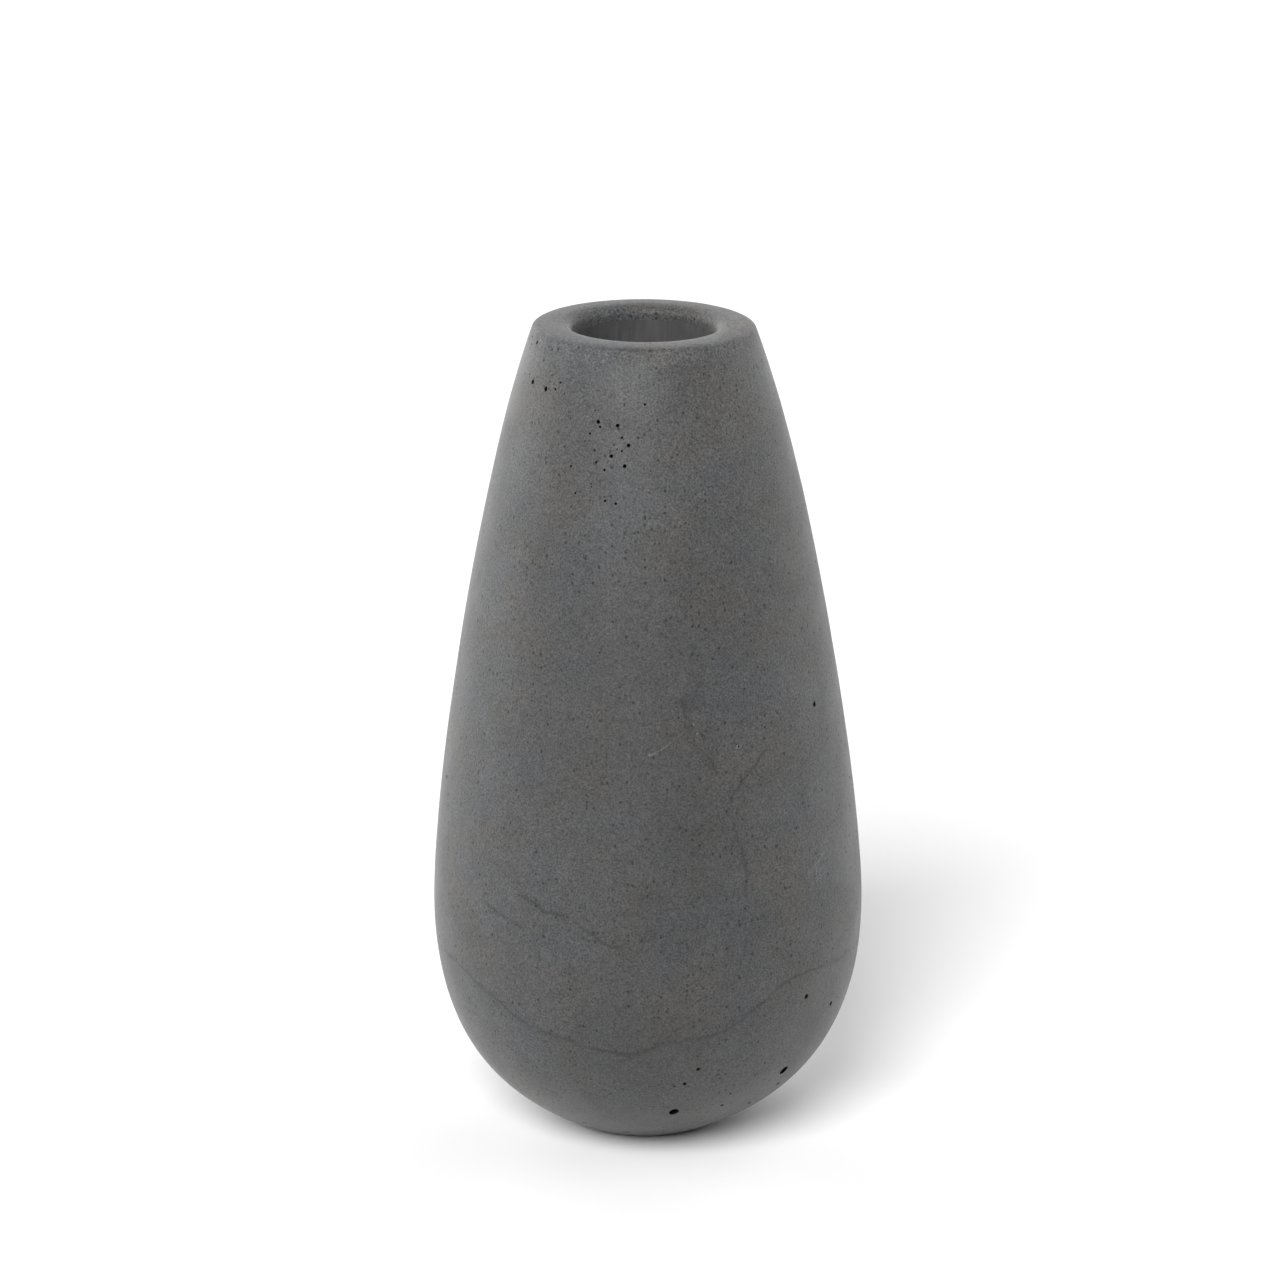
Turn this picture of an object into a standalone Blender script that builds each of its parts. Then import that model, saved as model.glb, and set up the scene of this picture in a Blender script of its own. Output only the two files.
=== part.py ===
"""A cast concrete bud vase: a heavy drop-shaped body with a straight drafted well down its middle,
a waterproof coat brushed onto the well, and a felt pad let into the underside.

Units are metres. The origin is the middle of the pad's underside, and +Z points up through the mouth.
"""

import math

import bpy
from mathutils import Vector

# ---------------------------------------------------------------- driving dimensions

HEIGHT = 0.190               # table top to the crest of the lip
BELLY_RADIUS = 0.0497        # widest point of the body
BELLY_HEIGHT = 0.0536        # height of that widest point
BASE_RADIUS = 0.019          # outer edge of the ground rim under the body
BASE_HEIGHT = 0.0005         # the rim clears the table by this much, because the pad stands proud of it

LIP_CREST_RADIUS = 0.0200    # the highest circle of the lip
LIP_OUTER_RADIUS = 0.0247    # where the top of the lip turns into the flank
LIP_OUTER_DROP = 0.0012      # how far that turn reaches down the flank
LIP_INNER_DROP = 0.0024      # how far the softer inner turn reaches down the well

WELL_MOUTH_RADIUS = 0.0162   # bare concrete, just under the lip
WELL_DRAFT_DEG = 1.0         # taper that lets the casting core be drawn out
WELL_FLOOR_HEIGHT = 0.018    # bare concrete floor of the well
WELL_FLOOR_FILLET = 0.006

COAT_THICKNESS = 0.0008
COAT_EDGE_BELOW_LIP = 0.0034  # the coat stops here, where the lip's turn has become straight wall

PAD_RADIUS = 0.0162
PAD_THICKNESS = 0.0014
PAD_EDGE_BEVEL = 0.0003

TOUCHING_GAP = 0.0003        # left between pieces that rest on each other

# Shape of the two body curves: the tangent at each end and how far each tangent pulls.
FLANK_LEAN = math.radians(20.2)      # flank's lean from the vertical, just under the lip
FLANK_TOP_PULL = 0.0360
FLANK_BELLY_PULL = 0.0250
UNDER_BELLY_PULL = 0.0354
UNDER_BASE_PULL = 0.0152
UNDER_BASE_RISE = math.radians(28.7)  # underside's rise from the horizontal, at the base

TURNING_STEPS = 64           # facets round every turned piece
LIP_POINTS = 7
FLANK_POINTS = 15
UNDER_POINTS = 13
FILLET_POINTS = 5
MERGE_DISTANCE = 0.00001

RECESS_RADIUS = PAD_RADIUS + TOUCHING_GAP
RECESS_CEILING = PAD_THICKNESS + TOUCHING_GAP

# Base colour (linear), roughness.
CONCRETE = ((0.125, 0.127, 0.130, 1.0), 0.85)
SEALER = ((0.070, 0.071, 0.073, 1.0), 0.45)
FELT = ((0.030, 0.030, 0.032, 1.0), 0.95)


# ---------------------------------------------------------------- helpers


def clear_scene():
    for obj in list(bpy.data.objects):
        bpy.data.objects.remove(obj)


def new_collection(name):
    collection = bpy.data.collections.new(name)
    bpy.context.scene.collection.children.link(collection)
    return collection


def new_material(name, finish):
    colour, roughness = finish
    material = bpy.data.materials.new(name)
    material.use_nodes = True
    shader = material.node_tree.nodes["Principled BSDF"]
    shader.inputs["Base Color"].default_value = colour
    shader.inputs["Roughness"].default_value = roughness
    shader.inputs["Metallic"].default_value = 0.0
    return material


def bezier(start, start_handle, end_handle, end, count):
    """Points (radius, height) along one cubic curve, both ends included."""
    points = []
    for i in range(count):
        t = i / (count - 1)
        s = 1.0 - t
        points.append(
            s ** 3 * start
            + 3 * s * s * t * start_handle
            + 3 * s * t * t * end_handle
            + t ** 3 * end
        )
    return points


def rounded_corner(start, corner, end, tightness, count):
    """Points of a soft corner from start to end that bends towards the corner point."""
    return bezier(
        start,
        start.lerp(corner, tightness),
        end.lerp(corner, tightness),
        end,
        count,
    )


def turned(name, profile, material, collection):
    """A closed solid turned about Z. The profile starts on the axis and ends on it, coming down its outer side."""
    mesh = bpy.data.meshes.new(name)
    vertices = [(p.x, 0.0, p.y) for p in profile]
    edges = [(i, i + 1) for i in range(len(profile) - 1)]
    mesh.from_pydata(vertices, edges, [])
    obj = bpy.data.objects.new(name, mesh)
    collection.objects.link(obj)

    screw = obj.modifiers.new("Turn", "SCREW")
    screw.axis = "Z"
    screw.angle = math.tau
    screw.steps = TURNING_STEPS
    screw.render_steps = TURNING_STEPS
    screw.use_merge_vertices = True
    screw.merge_threshold = MERGE_DISTANCE
    screw.use_smooth_shade = True

    mesh.materials.append(material)
    return obj


# ---------------------------------------------------------------- profiles


def lip_crest():
    return Vector((LIP_CREST_RADIUS, HEIGHT))


def well_radius(height):
    """Bare concrete radius of the well at a height on its straight wall."""
    depth = HEIGHT - LIP_INNER_DROP - height
    return WELL_MOUTH_RADIUS - depth * math.tan(math.radians(WELL_DRAFT_DEG))


def well_floor_corner(inset):
    """Fillet from the well's floor to its wall, with both moved inwards by inset."""
    floor = WELL_FLOOR_HEIGHT + inset
    wall_start = floor + WELL_FLOOR_FILLET
    start = Vector((well_radius(floor) - inset - WELL_FLOOR_FILLET, floor))
    corner = Vector((well_radius(floor) - inset, floor))
    end = Vector((well_radius(wall_start) - inset, wall_start))
    return rounded_corner(start, corner, end, 0.552, FILLET_POINTS)


def inner_lip():
    """From the top of the well's straight wall up and out to the crest of the lip."""
    start = Vector((WELL_MOUTH_RADIUS, HEIGHT - LIP_INNER_DROP))
    corner = Vector((WELL_MOUTH_RADIUS, HEIGHT))
    return rounded_corner(start, corner, lip_crest(), 0.62, LIP_POINTS)


def outer_lip():
    """From the crest out over the nearly flat top of the lip and round onto the flank."""
    down_flank = Vector((math.sin(FLANK_LEAN), -math.cos(FLANK_LEAN)))
    corner = Vector((LIP_OUTER_RADIUS, HEIGHT))
    end = corner + down_flank * LIP_OUTER_DROP
    return rounded_corner(lip_crest(), corner, end, 0.75, LIP_POINTS)


def flank(start):
    """From under the lip down to the belly."""
    down_flank = Vector((math.sin(FLANK_LEAN), -math.cos(FLANK_LEAN)))
    belly = Vector((BELLY_RADIUS, BELLY_HEIGHT))
    return bezier(
        start,
        start + down_flank * FLANK_TOP_PULL,
        belly + Vector((0.0, FLANK_BELLY_PULL)),
        belly,
        FLANK_POINTS,
    )


def underside(start):
    """From the belly down and in to the outer edge of the ground rim."""
    base_edge = Vector((BASE_RADIUS, BASE_HEIGHT))
    rise = Vector((math.cos(UNDER_BASE_RISE), math.sin(UNDER_BASE_RISE)))
    return bezier(
        start,
        start - Vector((0.0, UNDER_BELLY_PULL)),
        base_edge + rise * UNDER_BASE_PULL,
        base_edge,
        UNDER_POINTS,
    )


def base_recess():
    """Across the ground rim and up into the shallow round recess that holds the pad."""
    return [
        Vector((RECESS_RADIUS, BASE_HEIGHT)),
        Vector((RECESS_RADIUS, RECESS_CEILING)),
        Vector((0.0, RECESS_CEILING)),
    ]


# ---------------------------------------------------------------- pieces


def make_body(collection):
    """The casting: well floor, well wall, lip, flank, belly and recessed base, in one piece."""
    profile = [Vector((0.0, WELL_FLOOR_HEIGHT))]
    profile += well_floor_corner(0.0)
    profile += inner_lip()
    profile += outer_lip()[1:]
    profile += flank(profile[-1])[1:]
    profile += underside(profile[-1])[1:]
    profile += base_recess()
    return turned("vase_body", profile, new_material("concrete", CONCRETE), collection)


def make_seal_coat(collection):
    """The thin waterproof skin that lines the well, open at the mouth."""
    outside = TOUCHING_GAP
    inside = TOUCHING_GAP + COAT_THICKNESS
    edge = HEIGHT - COAT_EDGE_BELOW_LIP

    profile = [Vector((0.0, WELL_FLOOR_HEIGHT + inside))]
    profile += well_floor_corner(inside)
    profile.append(Vector((well_radius(edge) - inside, edge)))
    profile.append(Vector((well_radius(edge) - outside, edge)))
    profile += reversed(well_floor_corner(outside))
    profile.append(Vector((0.0, WELL_FLOOR_HEIGHT + outside)))
    return turned("seal_coat", profile, new_material("sealer", SEALER), collection)


def make_base_pad(collection):
    """The felt disc that the vase stands on."""
    bpy.ops.mesh.primitive_cylinder_add(
        vertices=TURNING_STEPS,
        radius=PAD_RADIUS,
        depth=PAD_THICKNESS,
        location=(0.0, 0.0, PAD_THICKNESS / 2),
    )
    pad = bpy.context.object
    pad.name = "base_pad"
    pad.data.name = "base_pad"
    for owner in pad.users_collection:
        owner.objects.unlink(pad)
    collection.objects.link(pad)

    bevel = pad.modifiers.new("Soft edge", "BEVEL")
    bevel.width = PAD_EDGE_BEVEL
    bevel.segments = 1
    bevel.limit_method = "ANGLE"
    bevel.angle_limit = math.radians(30.0)

    pad.data.materials.append(new_material("felt", FELT))
    return pad


def main():
    clear_scene()
    vase = new_collection("concrete_bud_vase")
    make_body(vase)
    make_seal_coat(vase)
    make_base_pad(vase)


main()
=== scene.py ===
"""Looks of the cast concrete bud vase: a finely turned body with real air-bubble holes, a brushed sealing
coat down its well, a felt pad under its base, and a plain pale studio.

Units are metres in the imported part's own frame: +Z up, the origin on the table under the middle of the pad.
Places on the vase are given as an azimuth and a height. Azimuth 0 faces the camera, which looks along +Y,
and a positive azimuth is to the camera's right.
"""

import math
import random
from functools import reduce

import bpy
import bmesh
import numpy as np
from mathutils import Matrix, Vector, noise
from mathutils.bvhtree import BVHTree


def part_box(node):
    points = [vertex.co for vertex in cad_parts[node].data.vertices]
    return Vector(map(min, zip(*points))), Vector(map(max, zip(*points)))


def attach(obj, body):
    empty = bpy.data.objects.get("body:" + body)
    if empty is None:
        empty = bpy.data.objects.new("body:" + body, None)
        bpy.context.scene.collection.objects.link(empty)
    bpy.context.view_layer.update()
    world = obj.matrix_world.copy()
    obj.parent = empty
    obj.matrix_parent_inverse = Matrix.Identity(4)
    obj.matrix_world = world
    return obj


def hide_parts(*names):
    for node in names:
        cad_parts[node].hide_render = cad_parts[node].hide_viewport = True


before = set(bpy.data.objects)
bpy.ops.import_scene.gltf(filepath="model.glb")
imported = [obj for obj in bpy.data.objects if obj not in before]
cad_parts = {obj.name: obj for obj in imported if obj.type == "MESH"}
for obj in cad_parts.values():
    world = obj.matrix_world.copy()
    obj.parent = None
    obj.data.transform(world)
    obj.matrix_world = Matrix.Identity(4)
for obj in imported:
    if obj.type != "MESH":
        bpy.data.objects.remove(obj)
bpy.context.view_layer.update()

MM = 0.001

# ------------------------------------------------ sizes, from the imported parts where they give them

BODY_LOW, BODY_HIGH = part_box("vase_body")
COAT_LOW, COAT_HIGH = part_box("seal_coat")
PAD_LOW, PAD_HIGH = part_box("base_pad")

TOP = BODY_HIGH.z
BELLY_RADIUS = BODY_HIGH.x
BASE_HEIGHT = BODY_LOW.z
TOUCHING_GAP = 0.3 * MM
WELL_FLOOR = COAT_LOW.z - TOUCHING_GAP
RECESS_RADIUS = PAD_HIGH.x + TOUCHING_GAP
RECESS_CEILING = PAD_HIGH.z + TOUCHING_GAP

# The rest of the turned outline, as the CAD body has it.
BELLY_HEIGHT = 53.6 * MM
BASE_RADIUS = 19 * MM
LIP_CREST_RADIUS = 20 * MM
LIP_OUTER_RADIUS = 24.7 * MM
LIP_OUTER_DROP = 1.2 * MM
LIP_INNER_DROP = 2.4 * MM
WELL_MOUTH_RADIUS = 16.2 * MM
WELL_DRAFT = math.radians(1.0)
WELL_FLOOR_FILLET = 6 * MM
FLANK_LEAN = math.radians(20.2)
FLANK_TOP_PULL = 36 * MM
FLANK_BELLY_PULL = 25 * MM
UNDER_BELLY_PULL = 35.4 * MM
UNDER_BASE_PULL = 15.2 * MM
UNDER_BASE_RISE = math.radians(28.7)
LIP_INNER_TIGHTNESS = 0.62   # how far a soft corner bends towards its sharp corner point
LIP_OUTER_TIGHTNESS = 0.75
ROUND_TIGHTNESS = 0.552      # the share that makes a corner a quarter circle

COLUMNS = 256            # facets round the body
ROW_PITCH = 1.2 * MM     # between rows on the outside
WELL_ROW_PITCH = 3.0 * MM
LIP_ROW_PITCH = 0.5 * MM

# Hand-cast unevenness: the surface dips by up to this much, and never rises above the CAD outline.
UNEVEN_DEPTH = 0.14 * MM
UNEVEN_SIZE = 26 * MM
RIPPLE_SIZE = 0.35 * UNEVEN_SIZE     # a finer unevenness on top of the broad one
RIPPLE_SHARE = 0.22
RIPPLE_PHASE = Vector((7, 3, 5))
# The underside was ground a little off centre, to the camera's left: most at the table, and not at all here.
BASE_OFFSET = 0.9 * MM
BASE_OFFSET_TOP = 40 * MM
BASE_OFFSET_POWER = 1.5
# The lip was struck off a little out of level: it is lower by this much at the camera's right.
LIP_TILT = 0.7 * MM
LIP_TILT_FROM = 150 * MM


# ------------------------------------------------ turned outline


def bezier(start, start_handle, end_handle, end, pitch):
    """Points (radius, height) along a cubic curve, about one pitch apart, both ends included."""
    length = (end - start).length
    count = max(2, math.ceil(length / pitch))
    points = []
    for i in range(count + 1):
        t = i / count
        s = 1.0 - t
        from_start = s ** 3 * start + 3 * s * s * t * start_handle
        points.append(from_start + 3 * s * t * t * end_handle + t ** 3 * end)
    return points


def rounded_corner(start, corner, end, tightness, pitch):
    """Points of a soft corner from start to end that bends towards the corner point."""
    return bezier(start, start.lerp(corner, tightness), end.lerp(corner, tightness), end, pitch)


def straight(start, end, pitch):
    count = max(1, math.ceil((end - start).length / pitch))
    return [start.lerp(end, i / count) for i in range(count + 1)]


def well_radius(height, inset=0.0):
    """Radius of the drafted well at a height, less an inset."""
    return WELL_MOUTH_RADIUS - (TOP - LIP_INNER_DROP - height) * math.tan(WELL_DRAFT) - inset


def well_floor_corner(inset, pitch):
    """Fillet from the well's floor to its wall, with both moved inwards by inset."""
    floor = WELL_FLOOR + inset
    wall_start = floor + WELL_FLOOR_FILLET
    start = Vector((well_radius(floor, inset) - WELL_FLOOR_FILLET, floor))
    corner = Vector((well_radius(floor, inset), floor))
    end = Vector((well_radius(wall_start, inset), wall_start))
    return rounded_corner(start, corner, end, ROUND_TIGHTNESS, pitch)


def flank_direction():
    return Vector((math.sin(FLANK_LEAN), -math.cos(FLANK_LEAN)))


def body_outline():
    """The body's half outline, from the middle of the well's floor round to the middle of the base."""
    crest = Vector((LIP_CREST_RADIUS, TOP))
    lip_corner = Vector((LIP_OUTER_RADIUS, TOP))
    lip_end = lip_corner + flank_direction() * LIP_OUTER_DROP
    belly = Vector((BELLY_RADIUS, BELLY_HEIGHT))
    base_edge = Vector((BASE_RADIUS, BASE_HEIGHT))
    base_rise = Vector((math.cos(UNDER_BASE_RISE), math.sin(UNDER_BASE_RISE)))
    wall_top = Vector((WELL_MOUTH_RADIUS, TOP - LIP_INNER_DROP))
    well_corner = Vector((WELL_MOUTH_RADIUS, TOP))

    floor_corner = well_floor_corner(0.0, WELL_ROW_PITCH)
    points = straight(Vector((0.0, WELL_FLOOR)), floor_corner[0], WELL_ROW_PITCH)
    points += floor_corner[1:]
    points += straight(points[-1], wall_top, WELL_ROW_PITCH)[1:]
    points += rounded_corner(wall_top, well_corner, crest, LIP_INNER_TIGHTNESS, LIP_ROW_PITCH)[1:]
    points += rounded_corner(crest, lip_corner, lip_end, LIP_OUTER_TIGHTNESS, LIP_ROW_PITCH)[1:]
    points += bezier(
        lip_end,
        lip_end + flank_direction() * FLANK_TOP_PULL,
        belly + Vector((0.0, FLANK_BELLY_PULL)),
        belly,
        ROW_PITCH,
    )[1:]
    points += bezier(
        belly,
        belly - Vector((0.0, UNDER_BELLY_PULL)),
        base_edge + base_rise * UNDER_BASE_PULL,
        base_edge,
        ROW_PITCH,
    )[1:]
    rim_inside = Vector((RECESS_RADIUS, BASE_HEIGHT))
    recess_corner = Vector((RECESS_RADIUS, RECESS_CEILING))
    points += straight(base_edge, rim_inside, ROW_PITCH)[1:]
    points += straight(rim_inside, recess_corner, ROW_PITCH)[1:]
    points += straight(recess_corner, Vector((0.0, RECESS_CEILING)), WELL_ROW_PITCH)[1:]
    return points


def outline_normals(outline):
    """Outward normals of an outline that comes down its outer side."""
    normals = []
    for i in range(len(outline)):
        before = outline[max(i - 1, 0)]
        after = outline[min(i + 1, len(outline) - 1)]
        along = (after - before).normalized()
        normals.append(Vector((-along.y, along.x)))
    return normals


def around(radius, azimuth, height):
    """A point from its radius, its azimuth in radians and its height."""
    return Vector((radius * math.sin(azimuth), -radius * math.cos(azimuth), height))


def turned_mesh(name, outline, columns, moved):
    """A closed surface turned about Z. The outline starts and ends on the axis. moved(point, outwards) is
    where a point of it goes, given the outward direction there."""
    normals = outline_normals(outline)
    mesh = bmesh.new()
    rings = []
    for row in range(1, len(outline) - 1):
        ring = []
        for column in range(columns):
            azimuth = math.tau * column / columns
            point = around(outline[row].x, azimuth, outline[row].y)
            outwards = around(normals[row].x, azimuth, normals[row].y)
            ring.append(mesh.verts.new(moved(point, outwards)))
        rings.append(ring)
    for lower, upper in zip(rings, rings[1:]):
        for i in range(columns):
            j = (i + 1) % columns
            mesh.faces.new((lower[j], lower[i], upper[i], upper[j]))
    first = mesh.verts.new((0.0, 0.0, outline[0].y))
    last = mesh.verts.new((0.0, 0.0, outline[-1].y))
    for i in range(columns):
        j = (i + 1) % columns
        mesh.faces.new((first, rings[0][i], rings[0][j]))
        mesh.faces.new((last, rings[-1][j], rings[-1][i]))
    bmesh.ops.recalc_face_normals(mesh, faces=mesh.faces)
    data = bpy.data.meshes.new(name)
    mesh.to_mesh(data)
    mesh.free()
    data.shade_smooth()
    obj = bpy.data.objects.new(name, data)
    bpy.context.scene.collection.objects.link(obj)
    return obj


def outer_radius(height):
    """Radius of the body's outside at a height."""
    outside = [p for p in body_outline() if p.x >= LIP_CREST_RADIUS]
    heights = [p.y for p in reversed(outside)]
    radii = [p.x for p in reversed(outside)]
    return float(np.interp(height, heights, radii))


# ------------------------------------------------ air-bubble holes


class Hole:
    """One air-bubble hole: where its mouth is, and the mouth's width round the vase and length up it."""

    def __init__(self, azimuth_deg, height_mm, width_mm, length_mm, lean_deg=0.0):
        self.azimuth = math.radians(azimuth_deg)
        self.height = height_mm * MM
        self.width = width_mm * MM
        self.length = length_mm * MM
        self.lean = math.radians(lean_deg)


# The holes on the front: azimuth, height, width, length, lean.
FRONT_HOLES = [
    (8.5, 14.6, 2.1, 2.9, -12),
    (47, 21, 2.4, 2.6, -20),
    (14, 28, 0.8, 0.9),
    (10.5, 24, 0.8, 0.9),
    (7.5, 23.5, 0.5, 0.5),
    (27, 18.5, 0.5, 0.7),
    (36, 26, 0.4, 0.5),
    (41, 12, 0.9, 0.8),
    (50, 16, 1.2, 0.8),
    (-12, 4.3, 0.9, 0.8),
    (-30, 7, 1.0, 0.8),
    (47, 41, 1.1, 1.3, -20),
    (61, 35, 1.1, 1.4),
    (59, 107, 1.1, 1.3),
    (27, 103, 0.5, 0.5),
    (-61, 179.5, 1.1, 1.0),
    (-50, 179, 1.0, 1.1),
    (-44, 179.5, 0.7, 0.6),
    (0, 178, 0.6, 0.6),
    (-20, 174, 0.8, 0.9),
    (-19, 173, 0.5, 0.6),
    (-11.5, 173.5, 0.8, 0.8),
    (-9.5, 171, 0.6, 0.6),
    (-20.5, 168, 0.5, 0.5),
    (-13.5, 167, 0.8, 0.8),
    (-19.5, 165.5, 0.6, 0.6),
    (-8, 165, 0.8, 0.9),
    (-16, 164, 0.6, 0.6),
    (-27, 158.5, 0.5, 0.6),
    (-15, 157.5, 0.6, 0.6),
    (-11, 157, 0.6, 0.6),
]

# Loose swarms of small holes: azimuth, height in mm, spread in degrees, spread in mm, how many.
SWARMS = [
    (-18, 166, 10, 10, 12),
    (-60, 184, 22, 4, 8),
    (32, 20, 22, 8, 8),
    (120, 158, 20, 12, 22),
    (165, 24, 30, 10, 16),
    (-125, 96, 16, 14, 12),
    (-100, 30, 18, 9, 10),
    (-165, 176, 18, 6, 10),
    (85, 70, 20, 20, 6),
]
SWARM_LOOSENESS = 0.6            # standard deviation of a swarm, as a share of its spread
SCATTERED_HOLES = 46
SCATTER_AZIMUTHS = (70, 290)     # the sides and the back, in degrees
SCATTER_HEIGHTS = (8, 182)       # in mm
SMALLEST_HOLE = 0.35             # mm across
SWARM_GROWTH = (0.5, 2)          # how much wider a hole can be, in mm, and the power that makes that rare
SCATTER_GROWTH = (0.8, 4)
SWARM_STRETCH = (0.9, 1.3)       # a hole's length over its width
SCATTER_STRETCH = (0.9, 1.5)
LEANS = (-40, 40)                # in degrees
HOLE_SEED = 7
HOLE_MARGIN = 0.35 * MM          # least wall between two holes
HOLE_KEEP_OUT = 1.5 * MM         # no hole's middle is nearer than this to the height of the base or the crest
HOLE_DEPTH = 1.9                 # a hole's depth below its mouth, in mouth widths
HOLE_SINK = 0.42                 # how far its widest part lies below the mouth, as a share of its depth
CAVITY_DENTS = 1.7               # dents along a hole's radius
CAVITY_DENT_DEPTH = 0.14         # their depth, as a share of the radius
CAVITY_PHASES = (0, 50)
FINE_CAVITY_WIDTH = 0.7 * MM     # a wider hole gets the finer wall
FINE_CAVITY, COARSE_CAVITY = 3, 2    # how often the sphere of a wall is subdivided
NORMAL_REACH = 1e-7              # metres: keeps a corner's weight finite
PORE_INDEX = 1                   # the hole walls' place among the body's materials


def random_width(chance, growth):
    most, power = growth
    return SMALLEST_HOLE + most * chance.random() ** power


def small_hole(chance, azimuth, height, width, stretch):
    return Hole(azimuth, height, width, width * chance.uniform(*stretch), chance.uniform(*LEANS))


def scattered_holes(chance):
    """Small holes, in swarms and here and there over the sides and the back."""
    holes = []
    for azimuth, height, azimuth_spread, height_spread, count in SWARMS:
        for _ in range(count):
            width = random_width(chance, SWARM_GROWTH)
            aside = chance.gauss(azimuth, azimuth_spread * SWARM_LOOSENESS)
            level = chance.gauss(height, height_spread * SWARM_LOOSENESS)
            holes.append(small_hole(chance, aside, level, width, SWARM_STRETCH))
    for _ in range(SCATTERED_HOLES):
        width = random_width(chance, SCATTER_GROWTH)
        azimuth = chance.uniform(*SCATTER_AZIMUTHS)
        height = chance.uniform(*SCATTER_HEIGHTS)
        holes.append(small_hole(chance, azimuth, height, width, SCATTER_STRETCH))
    return holes


def surface_frame(hole, surface):
    """(point on the outside, outward normal, direction round, direction up) at a hole."""
    far = around(2 * BELLY_RADIUS, hole.azimuth, hole.height)
    inwards = -around(1.0, hole.azimuth, 0.0)
    point, normal, _, _ = surface.ray_cast(far, inwards)
    level = Vector((0.0, 0.0, 1.0)).cross(normal).normalized()
    upwards = normal.cross(level)
    turn = Matrix.Rotation(hole.lean, 3, normal)
    return point, normal, turn @ level, turn @ upwards


def spaced_out(holes, surface):
    """The holes that lie clear of the lip, the base and each other: (hole, place on the surface, reach)."""
    placed = []
    for hole in holes:
        if not BASE_HEIGHT + HOLE_KEEP_OUT < hole.height < TOP - HOLE_KEEP_OUT:
            continue
        place = surface_frame(hole, surface)
        reach = max(hole.width, hole.length) / 2
        clear = all(
            (place[0] - other_place[0]).length > reach + other_reach + HOLE_MARGIN
            for _, other_place, other_reach in placed
        )
        if clear:
            placed.append((hole, place, reach))
    return placed


def add_cavity(mesh, hole, place, chance):
    """One rough bubble: an egg whose widest part lies below the mouth."""
    point, normal, level, upwards = place
    depth = HOLE_DEPTH * math.sqrt(hole.width * hole.length)
    sink = HOLE_SINK * depth
    reach_below = depth - sink
    widen = 1.0 / math.sqrt(1.0 - (sink / reach_below) ** 2)
    axes = Matrix((level * hole.width / 2 * widen, upwards * hole.length / 2 * widen, normal * reach_below))
    centre = point - normal * sink
    fineness = FINE_CAVITY if hole.width > FINE_CAVITY_WIDTH else COARSE_CAVITY
    made = bmesh.ops.create_icosphere(mesh, subdivisions=fineness, radius=1.0)
    phase = Vector([chance.uniform(*CAVITY_PHASES) for _ in range(3)])
    for vertex in made["verts"]:
        rough = 1.0 + CAVITY_DENT_DEPTH * noise.noise(vertex.co * CAVITY_DENTS + phase)
        vertex.co = centre + axes.transposed() @ (vertex.co * rough)


def cut_holes(body, painted_shade_pore_material):
    """Cuts the holes out of the body and gives their walls a material of their own, painted dark as the shade
    deep in each hole.
    """
    chance = random.Random(HOLE_SEED)
    surface = BVHTree.FromObject(body, bpy.context.evaluated_depsgraph_get())
    placed = spaced_out([Hole(*row) for row in FRONT_HOLES] + scattered_holes(chance), surface)
    mesh = bmesh.new()
    for hole, place, _ in placed:
        add_cavity(mesh, hole, place, chance)
    bmesh.ops.recalc_face_normals(mesh, faces=mesh.faces)
    data = bpy.data.meshes.new("bubbles")
    mesh.to_mesh(data)
    mesh.free()
    data.materials.append(painted_shade_pore_material)
    data.shade_smooth()
    bubbles = bpy.data.objects.new("bubbles", data)
    bpy.context.scene.collection.objects.link(bubbles)

    cut = body.modifiers.new("Holes", "BOOLEAN")
    cut.operation = "DIFFERENCE"
    cut.solver = "EXACT"
    cut.object = bubbles
    cut.material_mode = "TRANSFER"
    bpy.context.view_layer.update()
    whole = body.data
    result = bpy.data.meshes.new_from_object(body.evaluated_get(bpy.context.evaluated_depsgraph_get()))
    body.modifiers.clear()
    body.data = result
    restore_normals(result, whole)
    bpy.data.objects.remove(bubbles)


def restore_normals(mesh, whole):
    """Gives the outside round each hole the normals that it had before the cut, with a crisp rim."""
    corners_of = [tuple(p.vertices) for p in whole.polygons]
    tree = BVHTree.FromPolygons([v.co for v in whole.vertices], corners_of)
    smooth = [v.normal.copy() for v in whole.vertices]

    def old_normal(point):
        place, _, index, _ = tree.find_nearest(point)
        total = Vector((0.0, 0.0, 0.0))
        for corner in corners_of[index]:
            weight = 1.0 / (NORMAL_REACH + (whole.vertices[corner].co - place).length)
            total += smooth[corner] * weight
        return total.normalized()

    normals = [Vector((0.0, 0.0, 0.0))] * len(mesh.loops)
    known = {}
    for polygon in mesh.polygons:
        polygon.use_smooth = True
        if polygon.material_index == PORE_INDEX:
            continue
        for loop in polygon.loop_indices:
            vertex = mesh.loops[loop].vertex_index
            if vertex not in known:
                known[vertex] = old_normal(mesh.vertices[vertex].co)
            normals[loop] = known[vertex]
    mark_rims(mesh)
    mesh.normals_split_custom_set(normals)


def mark_rims(mesh):
    """Sharp edges where a hole's wall meets the outside."""
    faces_at = {}
    for polygon in mesh.polygons:
        for key in polygon.edge_keys:
            faces_at.setdefault(key, []).append(polygon.material_index)
    for edge in mesh.edges:
        edge.use_edge_sharp = len(set(faces_at.get(edge.key, []))) > 1


# ------------------------------------------------ node helpers

MIX_COLOUR_A = 6             # the places of a Mix node's colour sockets
MIX_COLOUR_B = 7
MIX_COLOUR_RESULT = 2
NOISE_LIMITS = (0.25, 0.75)  # nearly all of a noise's values lie between these
SOFT_LIMITS = (0.3, 0.7)     # and most of them between these


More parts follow.
